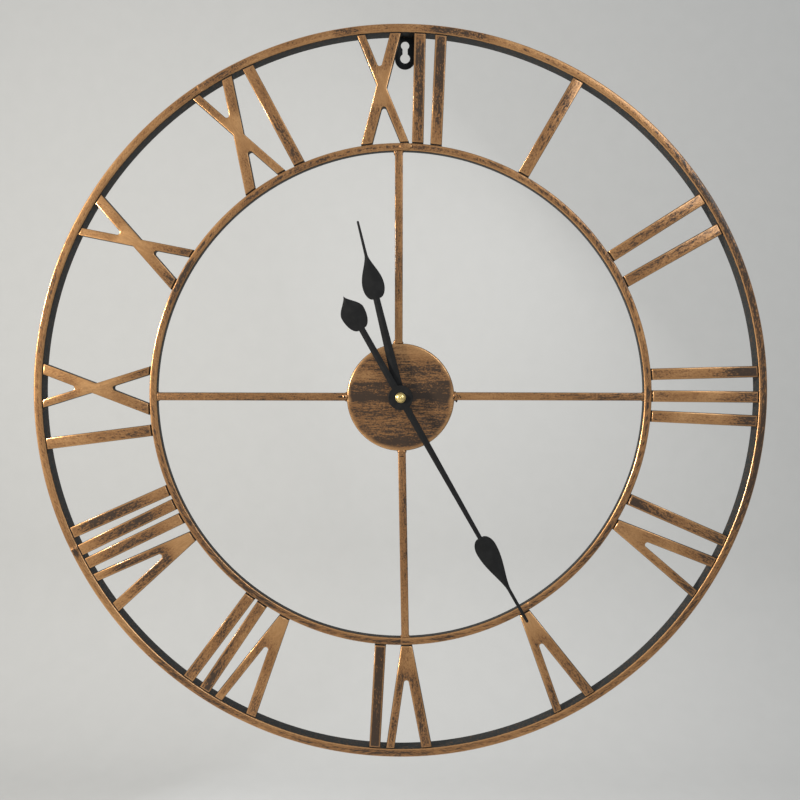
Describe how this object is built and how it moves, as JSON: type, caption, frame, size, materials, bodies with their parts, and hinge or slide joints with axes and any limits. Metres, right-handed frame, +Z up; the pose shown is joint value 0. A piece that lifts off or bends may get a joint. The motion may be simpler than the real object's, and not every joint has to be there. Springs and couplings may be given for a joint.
{
  "type": "wall clock",
  "caption": "Large skeleton wall clock: two welded sheet-metal rings carry open Roman numerals, spokes hold a centre cup with a quartz movement and spade hands.",
  "frame": {"origin": "the dial's axis where it meets the wall, on the plane of the centre cup's rear rim", "axes": "+Z up, +X to the right seen from the front, +Y from the dial into the wall along the hands' axis, so the clock faces -Y"},
  "size_m": [0.5999, 0.0355, 0.6],
  "materials": {
    "copper_patina": "dark base coat dry-brushed with antique copper, satin",
    "black_steel": "matte black",
    "hand_black": "matte black lacquer",
    "brass": "polished",
    "case_plastic": "fine moulded texture",
    "white_nylon": "moulded",
    "black_rubber": "matte",
    "battery_sleeve": "printed foil sleeve with bare ends",
    "spring_steel": "nickel plated",
    "iron_sheet": "stamped sheet",
    "green_board": "solder mask",
    "chip_epoxy": "potting blob",
    "enamelled_wire": "wound fine wire",
    "magnet": "sintered"
  },
  "bodies": {
    "clock_frame": {"outer_ring": "copper_patina", "inner_ring": "copper_patina", "centre_cup": "copper_patina", "weld_beads": "copper_patina", "hanger_plate": "black_steel", "movement_base": "case_plastic", "movement_cover": "case_plastic", "gear_bridge": "white_nylon", "rubber_washer": "black_rubber", "fixing_washer": "brass", "fixing_nut": "brass", "contact_positive": "spring_steel", "contact_negative": "spring_steel", "circuit_board": "green_board", "quartz_crystal": "spring_steel", "timing_chip": "chip_epoxy", "stator": "iron_sheet", "coil_core": "iron_sheet", "coil_bobbin": "white_nylon", "coil_winding": "enamelled_wire", "stator_screws": "spring_steel", "spoke_top": "copper_patina", "spoke_right": "copper_patina", "spoke_bottom": "copper_patina", "spoke_left": "copper_patina", "numeral_1": "copper_patina", "numeral_2": "copper_patina", "numeral_3": "copper_patina", "numeral_4": "copper_patina", "numeral_5": "copper_patina", "numeral_6": "copper_patina", "numeral_7": "copper_patina", "numeral_8": "copper_patina", "numeral_9": "copper_patina", "numeral_10": "copper_patina", "numeral_11": "copper_patina", "numeral_12": "copper_patina"},
    "minute_set": {"minute_wheel": "brass", "minute_hand": "hand_black", "minute_hand_boss": "hand_black", "cap_nut": "brass"},
    "hour_set": {"hour_wheel": "white_nylon", "hour_hand": "hand_black", "hour_hand_boss": "hand_black"},
    "motion_gear": {"motion_wheel": "white_nylon"},
    "third_gear": {"third_wheel": "white_nylon"},
    "seconds_gear": {"seconds_wheel": "white_nylon"},
    "step_gear": {"step_wheel": "white_nylon"},
    "motor_rotor": {"rotor": "magnet"},
    "knob": {"setting_knob": "white_nylon"},
    "battery_cell": {"battery": "battery_sleeve"}
  },
  "joints": [
    {"name": "minute_turn", "type": "hinge", "parent": "clock_frame", "child": "minute_set", "pos_m": [0, -0.02, 0], "axis": [0, 1, 0], "continuous": true},
    {"name": "hour_turn", "type": "hinge", "parent": "clock_frame", "child": "hour_set", "pos_m": [0, -0.02, 0], "axis": [0, 1, 0], "continuous": true},
    {"name": "motion_turn", "type": "hinge", "parent": "clock_frame", "child": "motion_gear", "pos_m": [0, -0.02, 0.0084], "axis": [0, 1, 0], "continuous": true},
    {"name": "third_turn", "type": "hinge", "parent": "clock_frame", "child": "third_gear", "pos_m": [0.00883, -0.02, 0.0051], "axis": [0, 1, 0], "continuous": true},
    {"name": "seconds_turn", "type": "hinge", "parent": "clock_frame", "child": "seconds_gear", "pos_m": [0, -0.02, 0], "axis": [0, 1, 0], "continuous": true},
    {"name": "step_turn", "type": "hinge", "parent": "clock_frame", "child": "step_gear", "pos_m": [-0.00758, -0.02, 0.00438], "axis": [0, 1, 0], "continuous": true},
    {"name": "rotor_turn", "type": "hinge", "parent": "clock_frame", "child": "motor_rotor", "pos_m": [-0.0143, -0.02, 0.00438], "axis": [0, 1, 0], "continuous": true},
    {"name": "knob_turn", "type": "hinge", "parent": "clock_frame", "child": "knob", "pos_m": [-0.0042, -0.02, 0.01567], "axis": [0, 1, 0], "continuous": true},
    {"name": "battery_slide", "type": "slide", "parent": "clock_frame", "child": "battery_cell", "axis": [0, 1, 0], "range_m": [0, 0.03]}
  ],
  "couplings": [
    {"joint": "hour_turn", "follows": "minute_turn", "ratio": 0.083333},
    {"joint": "motion_turn", "follows": "minute_turn", "ratio": -0.33333},
    {"joint": "third_turn", "follows": "minute_turn", "ratio": -7.5},
    {"joint": "seconds_turn", "follows": "minute_turn", "ratio": 60},
    {"joint": "step_turn", "follows": "minute_turn", "ratio": -360},
    {"joint": "rotor_turn", "follows": "minute_turn", "ratio": 1800},
    {"joint": "knob_turn", "follows": "minute_turn", "ratio": 1}
  ]
}
